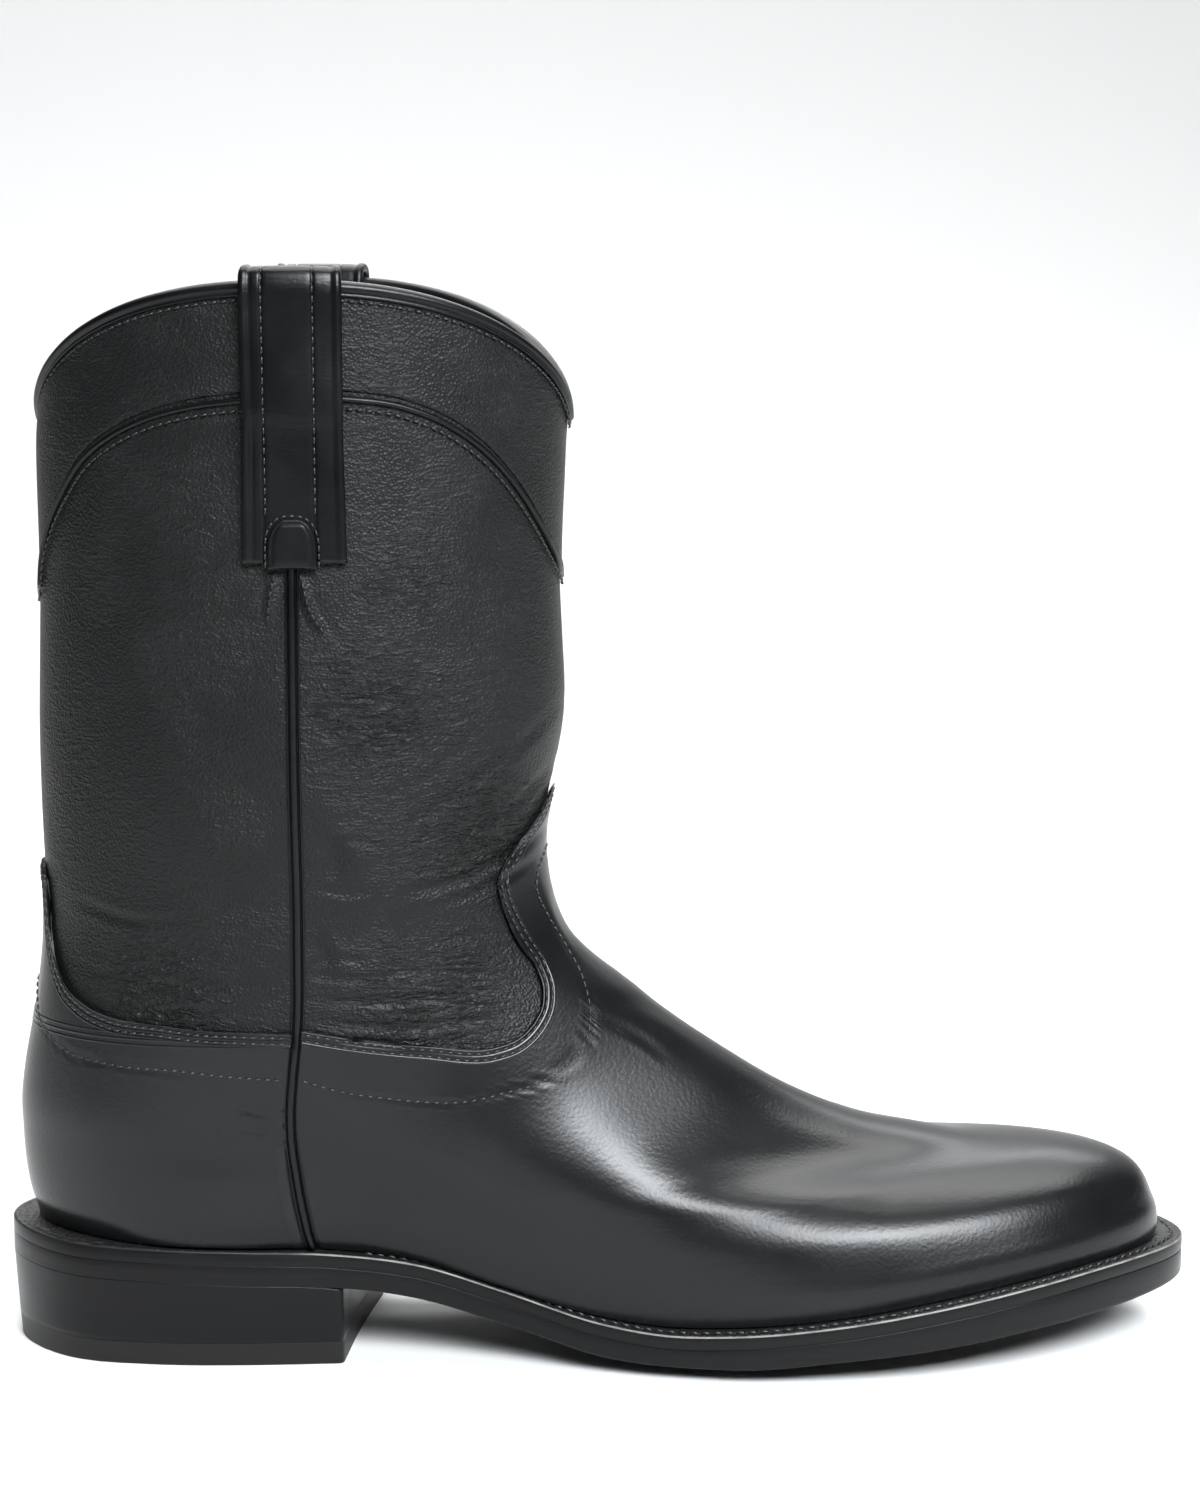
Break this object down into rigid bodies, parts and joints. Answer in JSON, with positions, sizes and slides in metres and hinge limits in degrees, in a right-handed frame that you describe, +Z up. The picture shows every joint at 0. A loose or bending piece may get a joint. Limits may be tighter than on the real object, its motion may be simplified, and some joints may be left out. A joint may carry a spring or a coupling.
{
  "type": "roper boot",
  "caption": "Pull-on leather roper boot with a low heel, scalloped collar, pull straps and piped side seams, right foot, standing empty.",
  "frame": {"origin": "middle of the boot's footprint box, on the floor the boot stands on", "axes": "+X from heel to toe, +Y to the medial side, +Z up"},
  "size_m": [0.312, 0.1056, 0.2819],
  "materials": {
    "shaft_leather": "soft matte grain",
    "foot_leather": "polished smooth",
    "sole_leather": "satin painted edge",
    "heel_rubber": "satin",
    "lining_leather": "matte"
  },
  "bodies": {
    "root": {"upper": "shaft_leather", "vamp": "foot_leather", "counter": "foot_leather", "collar": "shaft_leather", "collar_cord": "shaft_leather", "top_binding": "shaft_leather", "pull_strap_lateral": "shaft_leather", "pull_strap_medial": "shaft_leather", "strap_tab_lateral": "foot_leather", "strap_tab_medial": "foot_leather", "side_piping_lateral": "shaft_leather", "side_piping_medial": "shaft_leather", "insole": "lining_leather", "welt": "sole_leather", "outsole": "sole_leather", "heel_stack": "sole_leather", "heel_cap": "heel_rubber"}
  },
  "joints": []
}
